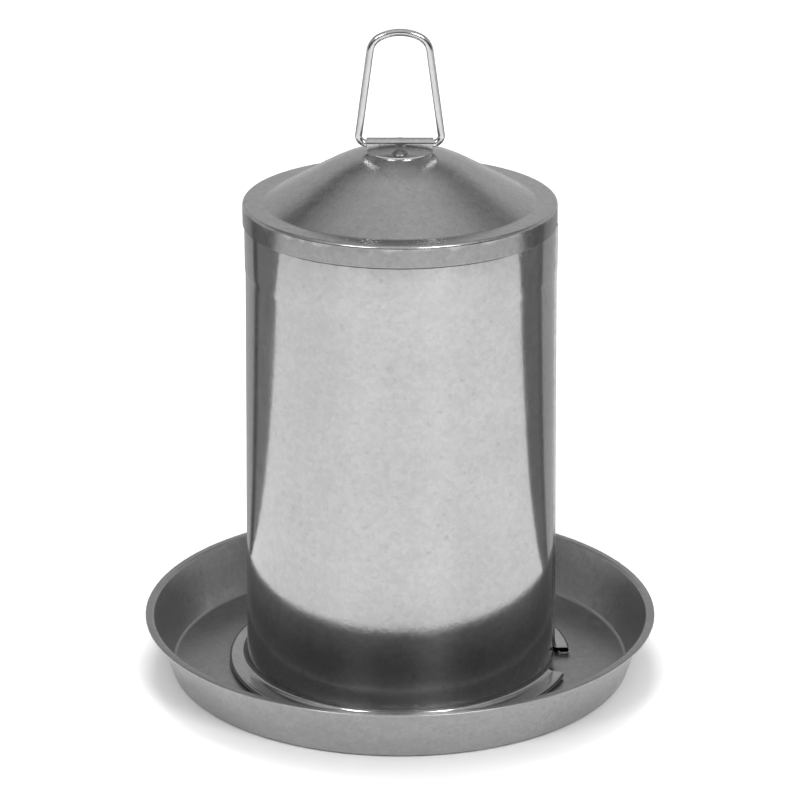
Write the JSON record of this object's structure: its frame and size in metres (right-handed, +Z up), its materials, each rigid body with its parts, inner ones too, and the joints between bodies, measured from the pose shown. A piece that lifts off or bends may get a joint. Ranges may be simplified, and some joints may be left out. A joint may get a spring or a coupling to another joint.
{
  "type": "poultry waterer fount",
  "caption": "Siphon drinker for poultry: an upright metal fount with a conical top and a wire bail, standing in a round drinking pan that it locks into.",
  "frame": {"origin": "middle of the pan's flat underside, at table level", "axes": "+Z up along the axis of the fount and pan; the bail's hinge runs along X; the water port in the foot of the fount faces +X"},
  "size_m": [0.3386, 0.3386, 0.4308],
  "materials": {
    "pan_sheet": "galvanised, dull spangle",
    "fount_sheet": "galvanised, bright spangle",
    "top_sheet": "galvanised, bright spangle",
    "plated_sheet": "zinc plated, smooth",
    "bail_wire": "zinc plated, bright",
    "rivets": "dull",
    "seals": "matt"
  },
  "bodies": {
    "pan": {"pan_dish": "pan_sheet", "bayonet_clip_back": "plated_sheet", "bayonet_clip_front": "plated_sheet", "clip_rivet_1": "rivets", "clip_rivet_2": "rivets", "clip_rivet_3": "rivets", "clip_rivet_4": "rivets"},
    "fount_lift": {"seam_seal": "seals"},
    "fount": {"fount_wall": "fount_sheet", "top_cone": "top_sheet", "hanger_plate": "plated_sheet", "hanger_rivet_front": "rivets", "hanger_rivet_back": "rivets", "rivet_seal_front": "seals", "rivet_seal_back": "seals"},
    "bail": {"bail": "bail_wire"}
  },
  "joints": [
    {"name": "fount_lift", "type": "slide", "parent": "pan", "child": "fount_lift", "axis": [0, 0, 1], "range_m": [0, 0.12]},
    {"name": "fount_turn", "type": "hinge", "parent": "fount_lift", "child": "fount", "pos_m": [0, 0, 0], "axis": [0, 0, 1], "range_deg": [-30, 0]},
    {"name": "bail_swing", "type": "hinge", "parent": "fount", "child": "bail", "pos_m": [0, 0, 0.3566], "axis": [1, 0, 0], "range_deg": [-102, 102]}
  ]
}
